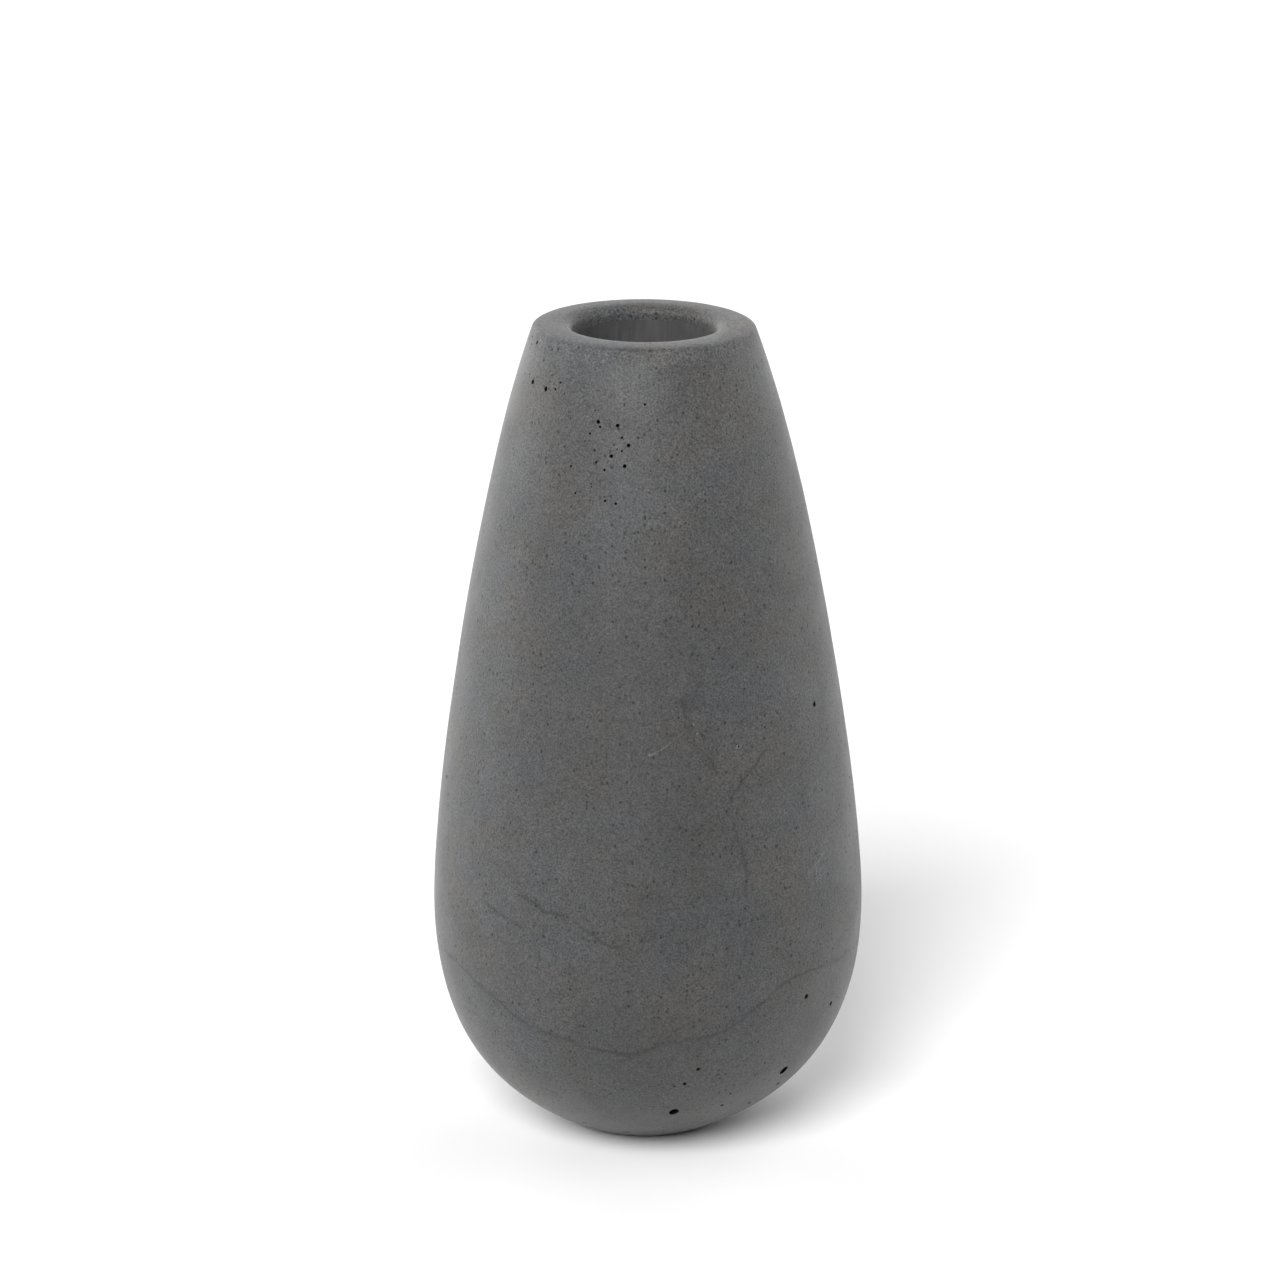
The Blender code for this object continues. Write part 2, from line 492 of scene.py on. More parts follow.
class Nodes:
    """Builds one node material. Each call returns an output socket, and takes sockets or constants."""

    def __init__(self, name):
        self.material = bpy.data.materials.new(name)
        self.material.use_nodes = True
        self.tree = self.material.node_tree
        self.shader = self.tree.nodes["Principled BSDF"]
        self.coordinates = self.new("ShaderNodeTexCoord").outputs["Object"]

    def new(self, kind, **settings):
        node = self.tree.nodes.new(kind)
        for name, value in settings.items():
            setattr(node, name, value)
        return node

    def feed(self, socket, value):
        if isinstance(value, bpy.types.NodeSocket):
            self.tree.links.new(value, socket)
        else:
            socket.default_value = value

    def math(self, operation, a, b=0.0):
        node = self.new("ShaderNodeMath", operation=operation)
        self.feed(node.inputs[0], a)
        self.feed(node.inputs[1], b)
        return node.outputs[0]

    def scaled(self, vector, factor):
        node = self.new("ShaderNodeVectorMath", operation="SCALE")
        self.feed(node.inputs[0], vector)
        self.feed(node.inputs["Scale"], factor)
        return node.outputs[0]

    def stretched(self, vector, factors):
        node = self.new("ShaderNodeVectorMath", operation="MULTIPLY")
        self.feed(node.inputs[0], vector)
        node.inputs[1].default_value = factors
        return node.outputs[0]

    def joined(self, x, y, z):
        node = self.new("ShaderNodeCombineXYZ")
        for socket, value in zip(node.inputs, (x, y, z)):
            self.feed(socket, value)
        return node.outputs[0]

    def parts(self, vector):
        node = self.new("ShaderNodeSeparateXYZ")
        self.feed(node.inputs[0], vector)
        return node.outputs

    def noise(self, size, detail=2.0, roughness=0.5, vector=None, distortion=0.0):
        """Soft noise from 0 to 1 whose blobs are about size metres across."""
        node = self.new("ShaderNodeTexNoise")
        self.feed(node.inputs["Vector"], self.coordinates if vector is None else vector)
        node.inputs["Scale"].default_value = 1.0 / size
        node.inputs["Detail"].default_value = detail
        node.inputs["Roughness"].default_value = roughness
        node.inputs["Distortion"].default_value = distortion
        return node.outputs["Fac"]

    def cells(self, size, vector):
        """(distance to the cell's middle in cell sizes, a random number of the cell)"""
        node = self.new("ShaderNodeTexVoronoi")
        self.feed(node.inputs["Vector"], vector)
        node.inputs["Scale"].default_value = 1.0 / size
        return node.outputs["Distance"], self.parts(node.outputs["Color"])[0]

    def ramp(self, value, low, high, to_low=0.0, to_high=1.0):
        """value, eased from to_low at low to to_high at high."""
        node = self.new("ShaderNodeMapRange", interpolation_type="SMOOTHSTEP")
        self.feed(node.inputs["Value"], value)
        node.inputs["From Min"].default_value = low
        node.inputs["From Max"].default_value = high
        node.inputs["To Min"].default_value = to_low
        node.inputs["To Max"].default_value = to_high
        return node.outputs["Result"]

    def swing(self, value, share, limits=NOISE_LIMITS):
        """A factor from 1 - share to 1 + share, as value goes from the first limit to the second."""
        return self.ramp(value, *limits, 1.0 - share, 1.0 + share)

    def changed(self, strength, share):
        """A factor of 1 where strength is 0, and of 1 + share where it is 1."""
        return self.total(1.0, self.product(strength, share))

    def colour_mix(self, factor, a, b):
        node = self.new("ShaderNodeMix", data_type="RGBA")
        self.feed(node.inputs["Factor"], factor)
        self.feed(node.inputs[MIX_COLOUR_A], a)
        self.feed(node.inputs[MIX_COLOUR_B], b)
        return node.outputs[MIX_COLOUR_RESULT]

    def curve(self, value, points):
        """A smooth curve from 0 to 1 through the points."""
        node = self.new("ShaderNodeFloatCurve")
        self.feed(node.inputs["Value"], value)
        curve = node.mapping.curves[0]
        curve.points[0].location = points[0]
        curve.points[1].location = points[-1]
        for x, y in points[1:-1]:
            curve.points.new(x, y)
        node.mapping.update()
        return node.outputs[0]

    def product(self, *factors):
        return reduce(lambda a, b: self.math("MULTIPLY", a, b), factors)

    def total(self, *terms):
        return reduce(lambda a, b: self.math("ADD", a, b), terms)

    def bump(self, height, depth, strength=1.0):
        """A bumped normal. height runs from 0 to 1 over depth metres."""
        node = self.new("ShaderNodeBump")
        node.inputs["Strength"].default_value = strength
        node.inputs["Distance"].default_value = depth
        self.feed(node.inputs["Height"], height)
        return node.outputs["Normal"]


# ------------------------------------------------ concrete

COOL_GREY = (0.0470, 0.0485, 0.0508, 1.0)
WARM_GREY = (0.0504, 0.0485, 0.0466, 1.0)

# Flow lines that run round the vase, as (azimuth in degrees, height in mm). The first goes right round.
LOW_FLOW_LINE = [
    (-180, 43), (-130, 48), (-90, 45), (-66, 46), (-54, 44.3), (-44.5, 41.5), (-35.5, 37.5), (-24, 35.7),
    (-13.5, 33.6), (-5, 33.1), (5.5, 36.2), (20, 37.4), (31, 43.3), (43, 47.2), (56, 46.6), (90, 44),
    (130, 39), (180, 43),
]
SHORT_FLOW_LINES = [
    [(-36, 68.5), (-33, 67.6), (-27.5, 65.9), (-22, 65.5)],
    [(-20, 65), (-17.5, 63.7), (-13, 60.9), (-7, 58.6)],
    [(-48, 64), (-46, 63.6), (-38.5, 61.7), (-35, 61)],
    [(-9, 30.8), (-7, 31.3), (0.3, 34.5), (2, 35.5)],
    [(100, 92), (118, 86), (131, 79), (150, 77)],
    [(-160, 66), (-148, 61), (-131, 60), (-112, 53)],
    [(23.5, 92.5), (29.5, 96.5), (36.2, 101.2)],
]
# Flow lines that run up the vase, as (height in mm, azimuth in degrees).
UPRIGHT_FLOW_LINES = [
    [(98, 19), (100, 18.3), (105, 14), (114, 11.3)],
    [(68, 27.2), (70, 27), (79, 25.7), (82, 25.4), (91, 23.3), (93.5, 24)],
    [(60, -150), (84, -146), (98, -149), (120, -141)],
    [(100, 101), (118, 97), (131, 103), (139, 101)],
]
FLOW_HALF_WIDTH = 0.85 * MM
FLOW_WANDER = 1.5 * MM           # how far a line round the vase strays from its curve
UPRIGHT_WANDER = 3.0 * MM
WANDER_NOISE = (4 * MM, 5, 0.6)  # size of the blobs, detail, roughness
THINNING_NOISE, THINNING_LIMITS = (7 * MM, 3), (0.30, 0.50)
THINNEST_LINE = 0.45
UPRIGHT_STRENGTH = 0.8           # of an upright line, against 1 for a line round the vase
ROUND_LINE_FADE = 1.5            # degrees over which a line round the vase ends
UPRIGHT_LINE_FADE = 2.5          # mm over which an upright line ends
LINE_HEIGHTS = (0.0, 150.0)      # mm: every line's height lies between these
LINE_AZIMUTHS = (-180.0, 180.0)

# Light scratches that run round the vase, as (azimuth in degrees, height in mm).
SCRATCHES = [
    [(48, 70.2), (51, 71.6), (55.5, 73.8)],
    [(0.7, 102.8), (4, 103.9), (8.5, 106.6)],
    [(-98, 64), (-90, 66.5), (-84, 67)],
    [(150, 133), (157, 131), (163, 128)],
]
SCRATCH_HALF_WIDTH = 0.40 * MM


def azimuth_degrees(nodes):
    x, y, _ = nodes.parts(nodes.coordinates)
    turn = nodes.math("ARCTAN2", x, nodes.product(y, -1.0))
    return nodes.product(turn, 180.0 / math.pi)


def axis_distance(nodes):
    x, y, _ = nodes.parts(nodes.coordinates)
    return nodes.math("SQRT", nodes.total(nodes.math("POWER", x, 2.0), nodes.math("POWER", y, 2.0)))


def followed(nodes, value, points, low, high):
    """The curve through the points at value, where both its sides are scaled to fit from 0 to 1."""
    first, last = points[0][0], points[-1][0]
    share = nodes.math("DIVIDE", nodes.math("SUBTRACT", value, first), last - first)
    fitted = [((a - first) / (last - first), (b - low) / (high - low)) for a, b in points]
    return nodes.total(nodes.product(nodes.curve(share, fitted), high - low), low)


def between(nodes, value, first, last, fade):
    """1 between first and last, fading to 0 over a distance of fade outside the ends."""
    return nodes.product(
        nodes.ramp(value, first - fade, first + fade),
        nodes.ramp(value, last - fade, last + fade, 1.0, 0.0),
    )


def line_strength(nodes, distance, half_width):
    """1 in the middle of a line and 0 past its soft edge, thinning out here and there along it."""
    patchy = nodes.ramp(nodes.noise(*THINNING_NOISE), *THINNING_LIMITS, THINNEST_LINE, 1.0)
    core = nodes.ramp(distance, 0.0, half_width, 1.0, 0.0)
    return nodes.product(core, patchy)


def lines_round(nodes, lines, wander, half_width):
    """Lines that run round the vase, as one strength from 0 to 1. wander moves them up and down."""
    azimuth = azimuth_degrees(nodes)
    height = nodes.total(nodes.parts(nodes.coordinates)[2], wander)
    millimetres = nodes.product(height, 1.0 / MM)
    strength = 0.0
    for points in lines:
        line = followed(nodes, azimuth, points, *LINE_HEIGHTS)
        apart = nodes.math("ABSOLUTE", nodes.math("SUBTRACT", millimetres, line))
        core = line_strength(nodes, nodes.product(apart, MM), half_width)
        first, last = points[0][0], points[-1][0]
        whole_turn = last - first == 360
        ends = 1.0 if whole_turn else between(nodes, azimuth, first, last, ROUND_LINE_FADE)
        strength = nodes.math("MAXIMUM", strength, nodes.product(core, ends))
    return strength


def lines_up(nodes, lines, wander, half_width):
    """Lines that run up the vase, as one strength from 0 to 1. wander moves them to and fro."""
    radius = axis_distance(nodes)
    degrees_to_metres = nodes.product(radius, math.pi / 180.0)
    height = nodes.product(nodes.parts(nodes.coordinates)[2], 1.0 / MM)
    azimuth = nodes.total(azimuth_degrees(nodes), nodes.math("DIVIDE", wander, degrees_to_metres))
    strength = 0.0
    for points in lines:
        line = followed(nodes, height, points, *LINE_AZIMUTHS)
        apart = nodes.math("ABSOLUTE", nodes.math("SUBTRACT", azimuth, line))
        core = line_strength(nodes, nodes.product(apart, degrees_to_metres), half_width)
        ends = between(nodes, height, points[0][0], points[-1][0], UPRIGHT_LINE_FADE)
        strength = nodes.math("MAXIMUM", strength, nodes.product(core, ends))
    return strength


def flow_lines(nodes):
    """All the dark flow lines of the casting, as one strength from 0 to 1."""
    jagged = nodes.math("SUBTRACT", nodes.noise(*WANDER_NOISE), 0.5)
    up_and_down = nodes.product(jagged, 2 * FLOW_WANDER)
    to_and_fro = nodes.product(jagged, 2 * UPRIGHT_WANDER)
    rounds = lines_round(nodes, [LOW_FLOW_LINE] + SHORT_FLOW_LINES, up_and_down, FLOW_HALF_WIDTH)
    uprights = lines_up(nodes, UPRIGHT_FLOW_LINES, to_and_fro, FLOW_HALF_WIDTH)
    return nodes.math("MAXIMUM", rounds, nodes.product(uprights, UPRIGHT_STRENGTH))


# Broad places that are a little darker or lighter: azimuth, height in mm, reach in mm, change of lightness.
# The broad darker places down the middle of the front are painted shade, the lighter places near the top are
# painted light, and the rest are the concrete's own tone.
TONE_AND_PAINTED_SHADING_PATCHES = [
    (-5, 112, 34, -0.14),
    (-8, 130, 32, -0.11),
    (-3, 84, 36, -0.12),
    (4, 52, 44, -0.15),
    (0, 20, 38, -0.19),
    (20, 176, 32, 0.13),
    (-7, 170, 20, -0.10),
    (46, 160, 26, 0.05),
    (8, 66, 17, -0.08),
    (14, 87, 12, -0.12),
    (11.5, 114, 2.8, -0.30),
    (18.5, 99.5, 2.2, -0.30),
    (172, 88, 44, -0.12),
    (-120, 128, 30, 0.07),
    (112, 52, 36, -0.09),
    (-148, 40, 30, 0.06),
]

# Light scuffs where the dry surface was rubbed: azimuth, height in mm, radius in mm, strength.
SCUFFS = [
    (52, 69, 3.4, 0.8),
    (-23, 76, 5.0, 0.30),
    (-34, 143, 2.8, 0.5),
    (140, 120, 5.0, 0.6),
    (-110, 60, 4.0, 0.7),
]

# Small white flecks: azimuth, height in mm, radius in mm.
FLECKS = [
    (13.5, 109.0, 0.50),
    (14.5, 107.0, 0.40),
    (0.7, 102.8, 0.40),
    (26.9, 102.9, 0.75),
    (-17.7, 114.6, 0.35),
    (-65, 188.2, 0.50),
    (-72, 187.0, 0.40),
    (126, 98.0, 0.45),
    (-166, 63.0, 0.40),
]
SCUFF_NOISE = (1.1 * MM, 4, 0.7)
SCUFF_STREAKS = (0.47, 0.66)     # the noise leaves no scuff below the first, and a full one above the second
PLACE_CORE = 0.15                # a place has its full strength over this share of its reach

# How much each mark changes the lightness, where it is at its full strength.
SPECK_CHANGE = -0.74
LIGHT_SPECK_CHANGE = 0.35
FLOW_LINE_CHANGE = -0.48
SCUFF_CHANGE = 1.1
FLECK_CHANGE = 1.5

# Soft layers of the concrete, as the size of their blobs, detail and roughness, and how far each swings the
# lightness up and down.
CLOUD_NOISE, CLOUD_SWING = (34 * MM, 4, 0.55), 0.05
MOTTLE_NOISE, MOTTLE_SWING = (6.5 * MM, 5, 0.62), 0.09
BLOTCH_NOISE, BLOTCH_SWING = (1.6 * MM, 3, 0.6), 0.10
GRAIN_NOISE, GRAIN_SWING = (0.42 * MM, 2, 0.7), 0.68
CLOUD_DISTORTION = 0.4
CLOUD_LIMITS = (0.28, 0.72)
TINT_NOISE, TINT_LIMITS = (15 * MM, 4, 0.6), (0.35, 0.65)

# Sand specks: the pitch of their cells, the share of cells with none, the largest one's radius in pitches.
FINE_SPECKS = (1.10 * MM, 0.25, 0.34)
COARSE_SPECKS = (1.45 * MM, 0.30, 0.25)
LIGHT_SPECKS = (1.7 * MM, 0.70, 0.15)
SPECK_STRETCH = (1.0, 1.0, 0.8)  # makes them a little taller than wide
SPECK_EDGE = (-0.10, 0.03)       # where a speck's edge starts and ends, in pitches
FINE_SPECK_STRENGTH = 0.7
THICK_NOISE = (16 * MM, 2)       # fine specks lie thick where this noise is high
THICK_LIMITS = (0.35, 0.62)
THIN_STRENGTH = 0.45

# The lip was rubbed flat after casting, and the same band is lightened as painted light against the shade of
# the lip's inner turn: fully down to the first depth, and not at all below the second.
RUBBED_AND_LIT_FULLY = 2.0 * MM
RUBBED_AND_LIT_TO = 5.5 * MM
RUB_AND_LIGHT_NOISE = (0.8 * MM, 3, 0.6)
RUB_AND_PAINTED_LIGHT_CHANGE = (0.02, 0.48)        # the least and the most that rubbing and painted light lighten it

# What each layer adds to the surface's fine height, and the depth and strength of the bump that it makes.
GRAIN_RISE = 0.6
BLOTCH_RISE = 0.4
SPECK_RISE = -0.6
LINE_RISE = -0.3
CONCRETE_RELIEF = 0.10 * MM
CONCRETE_BUMP = 0.7

GLOSS_NOISE = (11 * MM, 4)
CONCRETE_ROUGHNESS = (0.50, 0.60)
SPECK_ROUGHNESS = 0.15           # added on a speck
RUBBED_ROUGHNESS = 0.15          # added on the rubbed lip
MINERAL_IOR = 1.5
DUST_SHEEN = 0.10
DUST_SHEEN_ROUGHNESS = 0.45

# Painted shade: the hole walls are coloured far darker than the concrete, for the shade deep in each hole.
PORE_SHADE_GREY = (0.014, 0.014, 0.014)
PORE_NOISE = (0.5 * MM, 3)
PORE_SHADES = (0.75, 1.15)
PORE_ROUGHNESS = (0.8, 0.95)
PORE_RELIEF = 0.05 * MM
PORE_SPECULAR = 0.25


def scuffs(nodes):
    """The light scuffs and scratches, as one strength from 0 to 1."""
    streaks = nodes.ramp(nodes.noise(*SCUFF_NOISE), *SCUFF_STREAKS)
    strength = 0.0
    for azimuth, height, radius, share in SCUFFS:
        patch = near(nodes, azimuth, height, radius * MM)
        strength = nodes.total(strength, nodes.product(patch, share))
    scratches = lines_round(nodes, SCRATCHES, 0.0, SCRATCH_HALF_WIDTH)
    return nodes.math("MAXIMUM", nodes.product(strength, streaks), scratches)


def flecks(nodes):
    """The small white flecks, as one strength from 0 to 1."""
    strength = 0.0
    for azimuth, height, radius in FLECKS:
        strength = nodes.math("MAXIMUM", strength, near(nodes, azimuth, height, radius * MM))
    return strength


def tone_and_painted_shading(nodes):
    """The broad darker and lighter places, as a factor round 1: partly painted shade and painted light,
    partly the concrete's own tone.
    """
    factor = 1.0
    for azimuth, height, reach, change in TONE_AND_PAINTED_SHADING_PATCHES:
        patch = near(nodes, azimuth, height, reach * MM)
        factor = nodes.total(factor, nodes.product(patch, change))
    return factor


def near(nodes, azimuth_deg, height_mm, reach):
    """1 at a place on the outside, easing to 0 at reach metres from it."""
    place = around(outer_radius(height_mm * MM), math.radians(azimuth_deg), height_mm * MM)
    node = nodes.new("ShaderNodeVectorMath", operation="DISTANCE")
    nodes.feed(node.inputs[0], nodes.coordinates)
    node.inputs[1].default_value = place
    return nodes.ramp(node.outputs["Value"], PLACE_CORE * reach, reach, 1.0, 0.0)


def sand_specks(nodes, pitch, rarity, radius):
    """Sand specks about a pitch apart: 1 on a speck and 0 off it. rarity is the share of cells with none."""
    distance, chance = nodes.cells(pitch, nodes.stretched(nodes.coordinates, SPECK_STRETCH))
    reach = nodes.product(nodes.ramp(chance, rarity, 1.0), radius)
    return nodes.ramp(nodes.math("SUBTRACT", distance, reach), *SPECK_EDGE, 1.0, 0.0)


def rubbed_and_lit_lip(nodes):
    """1 on the lip, which was rubbed flat after casting and is lightened there partly as painted light, and 0
    further down.
    """
    return nodes.ramp(nodes.parts(nodes.coordinates)[2], TOP - RUBBED_AND_LIT_TO, TOP - RUBBED_AND_LIT_FULLY)


def concrete_pattern(nodes):
    """(colour, fine height, speck strength) of the cast concrete."""
    clouds = nodes.noise(*CLOUD_NOISE, distortion=CLOUD_DISTORTION)
    mottle = nodes.noise(*MOTTLE_NOISE)
    blotches = nodes.noise(*BLOTCH_NOISE)
    grain = nodes.noise(*GRAIN_NOISE)

    thick_where = nodes.ramp(nodes.noise(*THICK_NOISE), *THICK_LIMITS, THIN_STRENGTH, 1.0)
    fine_specks = nodes.product(sand_specks(nodes, *FINE_SPECKS), thick_where, FINE_SPECK_STRENGTH)
    specks = nodes.math("MAXIMUM", fine_specks, sand_specks(nodes, *COARSE_SPECKS))
    lines = flow_lines(nodes)
    rub_marks_and_painted_light = nodes.ramp(nodes.noise(*RUB_AND_LIGHT_NOISE), *SOFT_LIMITS, *RUB_AND_PAINTED_LIGHT_CHANGE)

    lightness = nodes.product(
        nodes.swing(clouds, CLOUD_SWING, CLOUD_LIMITS),
        nodes.swing(mottle, MOTTLE_SWING),
        nodes.swing(blotches, BLOTCH_SWING),
        nodes.swing(grain, GRAIN_SWING),
        # painted shade and painted light over the front and top, with some real tone
        tone_and_painted_shading(nodes),
        nodes.changed(specks, SPECK_CHANGE),
        nodes.changed(lines, FLOW_LINE_CHANGE),
        nodes.changed(sand_specks(nodes, *LIGHT_SPECKS), LIGHT_SPECK_CHANGE),
        nodes.changed(scuffs(nodes), SCUFF_CHANGE),
        nodes.changed(flecks(nodes), FLECK_CHANGE),
        # painted light: the lip band is lightened, partly as rubbing wear and partly against the shade of its
        # inner turn
        nodes.changed(rubbed_and_lit_lip(nodes), rub_marks_and_painted_light),
    )
    tint = nodes.ramp(nodes.noise(*TINT_NOISE), *TINT_LIMITS)
    colour = nodes.scaled(nodes.colour_mix(tint, COOL_GREY, WARM_GREY), lightness)
    height = nodes.total(
        nodes.product(grain, GRAIN_RISE),
        nodes.product(blotches, BLOTCH_RISE),
        nodes.product(specks, SPECK_RISE),
        nodes.product(lines, LINE_RISE),
    )
    return colour, height, specks


def concrete_material():
    nodes = Nodes("cast_concrete")
    colour, height, specks = concrete_pattern(nodes)
    shader = nodes.shader
    nodes.feed(shader.inputs["Base Color"], colour)
    roughness = nodes.total(
        nodes.ramp(nodes.noise(*GLOSS_NOISE), *SOFT_LIMITS, *CONCRETE_ROUGHNESS),
        nodes.product(specks, SPECK_ROUGHNESS),
        nodes.product(rubbed_and_lit_lip(nodes), RUBBED_ROUGHNESS),
    )
    nodes.feed(shader.inputs["Roughness"], roughness)
    nodes.feed(shader.inputs["Normal"], nodes.bump(height, CONCRETE_RELIEF, CONCRETE_BUMP))
    shader.inputs["IOR"].default_value = MINERAL_IOR
    shader.inputs["Sheen Weight"].default_value = DUST_SHEEN
    shader.inputs["Sheen Roughness"].default_value = DUST_SHEEN_ROUGHNESS
    return nodes.material


def painted_shade_pore_material():
    """The inside of an air bubble: smooth, matt cement paste, painted a good deal darker than the outside as
    the shade deep in the hole.
    """
    nodes = Nodes("bubble_wall_painted_shade")
    shader = nodes.shader
    grain = nodes.noise(*PORE_NOISE)
    shade = nodes.ramp(grain, *SOFT_LIMITS, *PORE_SHADES)
    nodes.feed(shader.inputs["Base Color"], nodes.scaled(PORE_SHADE_GREY, shade))
    nodes.feed(shader.inputs["Roughness"], nodes.ramp(grain, *SOFT_LIMITS, *PORE_ROUGHNESS))
    nodes.feed(shader.inputs["Normal"], nodes.bump(grain, PORE_RELIEF))
    shader.inputs["Specular IOR Level"].default_value = PORE_SPECULAR
    return nodes.material


# ------------------------------------------------ body


def eased(value, low, high):
    """0 at low and 1 at high, with soft ends."""
    share = min(1.0, max(0.0, (value - low) / (high - low)))
    return share * share * (3.0 - 2.0 * share)


def hand_cast(point, outwards):
    """Where a point of the CAD outline lies on the hand-cast surface. The outside dips a little here and
    there, and the well keeps the even shape of its core."""
    radius = math.hypot(point.x, point.y)
    if radius < BASE_RADIUS - TOUCHING_GAP and point.z < WELL_FLOOR:
        return point
    slow = noise.noise(point / UNEVEN_SIZE)
    quick = noise.noise(point / RIPPLE_SIZE + RIPPLE_PHASE)
    dip = UNEVEN_DEPTH * min(1.0, max(0.0, 0.5 + 0.5 * slow + RIPPLE_SHARE * quick))
    dip *= eased(radius, WELL_MOUTH_RADIUS, LIP_CREST_RADIUS)
    outside = point.z < BASE_OFFSET_TOP and radius > WELL_MOUTH_RADIUS
    sideways = BASE_OFFSET * (1.0 - point.z / BASE_OFFSET_TOP) ** BASE_OFFSET_POWER if outside else 0.0
    to_the_right = 0.5 + 0.5 * point.x / LIP_OUTER_RADIUS
    sink = LIP_TILT * to_the_right * eased(point.z, LIP_TILT_FROM, TOP)
    return point - outwards * dip - Vector((sideways, 0.0, sink))


def make_body():
    body = turned_mesh("cast_body", body_outline(), COLUMNS, hand_cast)
    body.data.materials.append(concrete_material())
    # the hole walls' material, painted dark as the shade in the holes
    painted_shade_pores = painted_shade_pore_material()
    body.data.materials.append(painted_shade_pores)
    cut_holes(body, painted_shade_pores)
    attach(body, "root")
    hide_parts("vase_body")


# ------------------------------------------------ sealing coat

COAT_FILM = 0.18 * MM         # brushed film thickness over most of the wall
COAT_CLEARANCE = 0.05 * MM    # between the film and the wall under it
COAT_THIN_EDGE = 0.01 * MM    # the film thins to this at its top edge
COAT_FEATHER = 6.0 * MM       # over this height
COAT_STREAK = 0.05 * MM       # how high the brush marks stand
STREAKS_ROUND = 22            # how fine they are, round the wall and up each metre of it
STREAKS_UP = 18
COAT_EDGE_WAVE = 0.9 * MM     # how far the brushed top edge wanders down
EDGE_WAVES, EDGE_WAVE_SHARE, EDGE_WAVE_PHASE = 1.6, 0.4, Vector((3, 1, 4))
EDGE_RIPPLES, EDGE_RIPPLE_SHARE, EDGE_RIPPLE_PHASE = 9.0, 0.25, Vector((8, 2, 6))
COAT_SHARP_EDGE = math.radians(40.0)
COAT_COLUMNS = 256
COAT_ROW_PITCH = 2.0 * MM

SEALED_GREY = (0.057, 0.057, 0.058)
WELL_SHADE_DEPTH = 18 * MM          # painted shade: the coat darkens down the well, fully below this depth
WELL_SHADE_FACTOR = 0.80
WALL_PER_DEGREE = 0.27 * MM   # length of the wall round one degree
STROKE_SQUASH = 0.12          # upright brush strokes: the noise is squashed by this in height
STROKE_NOISE, STROKE_SWING = (1.3 * MM, 4, 0.6), 0.20
STROKE_RELIEF = 0.12 * MM
STROKE_BUMP = 0.7
COAT_MOTTLE_NOISE, COAT_MOTTLE_SWING = (5 * MM, 4), 0.1
COAT_SPECKS, COAT_SPECK_CHANGE = (1.5 * MM, 0.5, 0.25), -0.5
COAT_ROUGHNESS = (0.62, 0.76)


def coat_outline():
    """The film's half outline: up its inner side, over its thin edge, and down its side against the wall."""
    against_wall = COAT_CLEARANCE
    inner_side = COAT_CLEARANCE + COAT_FILM
    edge = COAT_HIGH.z
    full_below = edge - COAT_FEATHER

    inner_corner = well_floor_corner(inner_side, COAT_ROW_PITCH)
    points = straight(Vector((0.0, WELL_FLOOR + inner_side)), inner_corner[0], COAT_ROW_PITCH)
    points += inner_corner[1:]
    full_film = Vector((well_radius(full_below, inner_side), full_below))
    points += straight(points[-1], full_film, COAT_ROW_PITCH)[1:]
    thin_edge = Vector((well_radius(edge, against_wall + COAT_THIN_EDGE), edge))
    points += straight(points[-1], thin_edge, LIP_ROW_PITCH)[1:]

    wall_corner = well_floor_corner(against_wall, COAT_ROW_PITCH)
    points += straight(Vector((well_radius(edge, against_wall), edge)), wall_corner[-1], COAT_ROW_PITCH)
    points += reversed(wall_corner[:-1])
    points += straight(points[-1], Vector((0.0, WELL_FLOOR + against_wall)), COAT_ROW_PITCH)[1:]
    return points


def brushed(point, outwards):
    """Where a point of the film's outline lies: its top edge wanders, and the brush left its inner side
    streaked."""
    azimuth = math.atan2(point.x, -point.y)
    round_the_wall = Vector((math.sin(azimuth), math.cos(azimuth), 0.0))
    slow = noise.noise(round_the_wall * EDGE_WAVES + EDGE_WAVE_PHASE)
    quick = noise.noise(round_the_wall * EDGE_RIPPLES + EDGE_RIPPLE_PHASE)
    near_edge = eased(point.z, COAT_HIGH.z - COAT_FEATHER, COAT_HIGH.z)
    drop = COAT_EDGE_WAVE * (0.5 + EDGE_WAVE_SHARE * slow + EDGE_RIPPLE_SHARE * quick) * near_edge
    faces_the_axis = outwards.x * point.x + outwards.y * point.y < 0.0
    streak = noise.noise(round_the_wall * STREAKS_ROUND + Vector((0, 0, STREAKS_UP * point.z)))
    lift = COAT_STREAK * streak * (1.0 - near_edge) if faces_the_axis else 0.0
    return point + outwards * lift - Vector((0.0, 0.0, drop))


def make_coat():
    """The film that lines the well: an open cup whose top edge feathers out into the bare wall."""
    coat = turned_mesh("sealing_film", coat_outline(), COAT_COLUMNS, brushed)
    coat.data.set_sharp_from_angle(angle=COAT_SHARP_EDGE)
    coat.data.materials.append(coat_material())
    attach(coat, "root")
    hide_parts("seal_coat")


